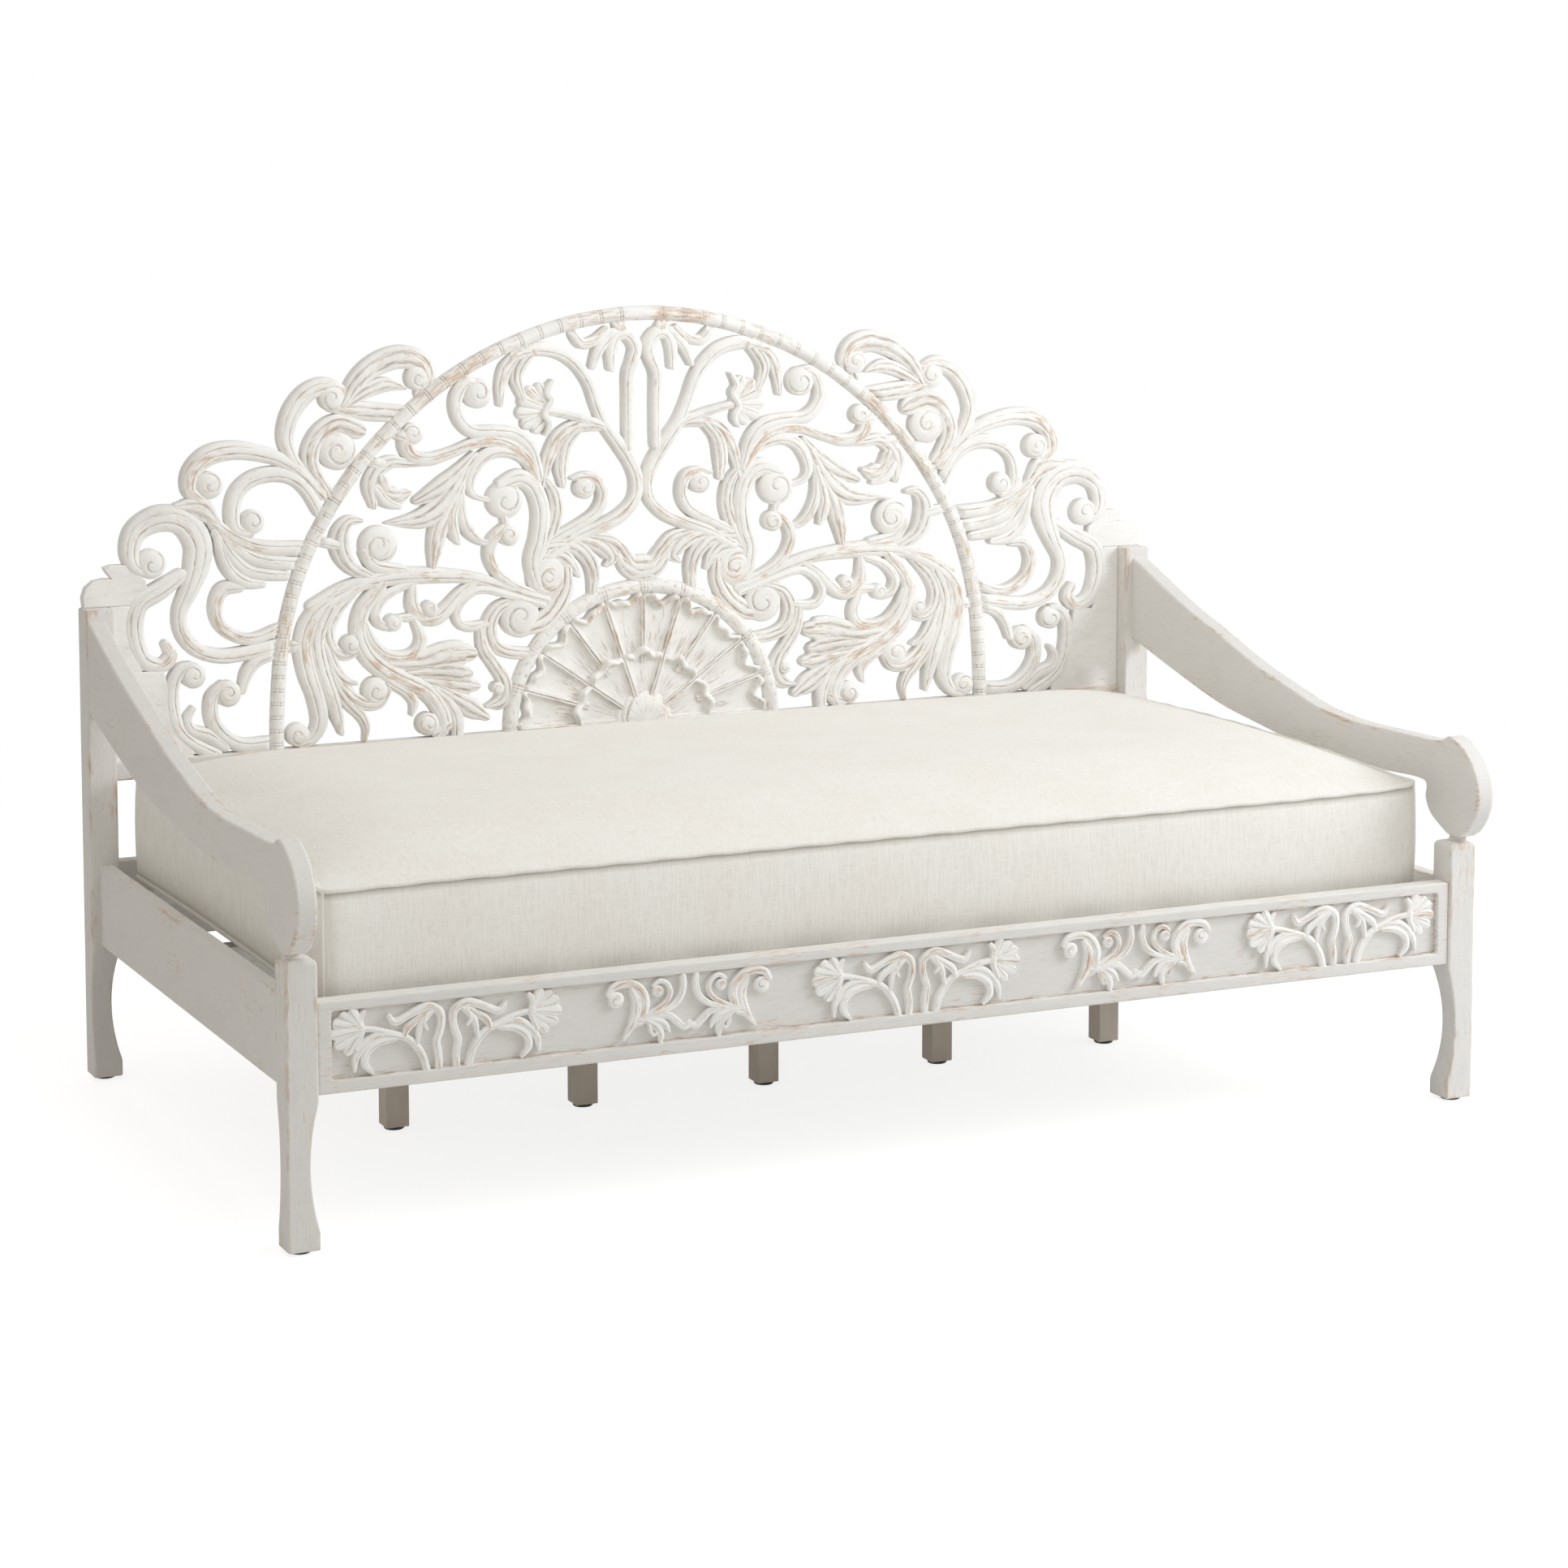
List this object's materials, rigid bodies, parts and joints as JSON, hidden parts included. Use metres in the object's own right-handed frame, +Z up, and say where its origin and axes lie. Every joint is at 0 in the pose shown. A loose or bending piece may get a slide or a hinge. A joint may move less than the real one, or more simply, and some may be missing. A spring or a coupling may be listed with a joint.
{
  "type": "carved daybed",
  "caption": "Whitewashed carved wooden daybed with an arched pierced acanthus back, half rosette, swept board arms with round knobs, carved front rail and a loose cream mattress.",
  "frame": {"origin": "on the floor, midway between the two ends and midway between the arm knobs' fronts and the rear faces of the back posts", "axes": "+X along the length, to the right of someone facing the front rail; +Y towards the carved back; +Z up"},
  "size_m": [2.09, 1.206, 1.315],
  "materials": {
    "whitewashed_wood": "whitewashed and rubbed through to the wood on edges and ridges, matt",
    "support_wood": "taupe-grey paint, matt",
    "mattress_cover": "cream slubby plain weave with a welted seam",
    "glide_plastic": "black, matt"
  },
  "bodies": {
    "frame": {"arm_left": "whitewashed_wood", "arm_neck_left": "whitewashed_wood", "arm_neck_right": "whitewashed_wood", "arm_right": "whitewashed_wood", "back_arch": "whitewashed_wood", "back_bottom_rail": "whitewashed_wood", "back_fretwork": "whitewashed_wood", "back_post_left": "whitewashed_wood", "back_post_right": "whitewashed_wood", "back_wing_left": "whitewashed_wood", "back_wing_right": "whitewashed_wood", "centre_beam": "whitewashed_wood", "centre_leg_1": "support_wood", "centre_leg_2": "support_wood", "centre_leg_3": "support_wood", "centre_leg_4": "support_wood", "centre_leg_5": "support_wood", "front_leg_left": "whitewashed_wood", "front_leg_right": "whitewashed_wood", "front_rail": "whitewashed_wood", "glide_back_left": "glide_plastic", "glide_back_right": "glide_plastic", "glide_centre_1": "glide_plastic", "glide_centre_2": "glide_plastic", "glide_centre_3": "glide_plastic", "glide_centre_4": "glide_plastic", "glide_centre_5": "glide_plastic", "glide_front_left": "glide_plastic", "glide_front_right": "glide_plastic", "half_rosette": "whitewashed_wood", "ledger_back": "whitewashed_wood", "ledger_front": "whitewashed_wood", "rear_rail": "whitewashed_wood", "side_rail_left": "whitewashed_wood", "side_rail_right": "whitewashed_wood", "slat_01": "whitewashed_wood", "slat_02": "whitewashed_wood", "slat_03": "whitewashed_wood", "slat_04": "whitewashed_wood", "slat_05": "whitewashed_wood", "slat_06": "whitewashed_wood", "slat_07": "whitewashed_wood", "slat_08": "whitewashed_wood", "slat_09": "whitewashed_wood", "slat_10": "whitewashed_wood", "slat_11": "whitewashed_wood", "slat_12": "whitewashed_wood"},
    "mattress": {"mattress": "mattress_cover"}
  },
  "joints": [
    {"name": "mattress_lift", "type": "slide", "parent": "frame", "child": "mattress", "axis": [0, 0, 1], "range_m": [0, 0.45]}
  ]
}
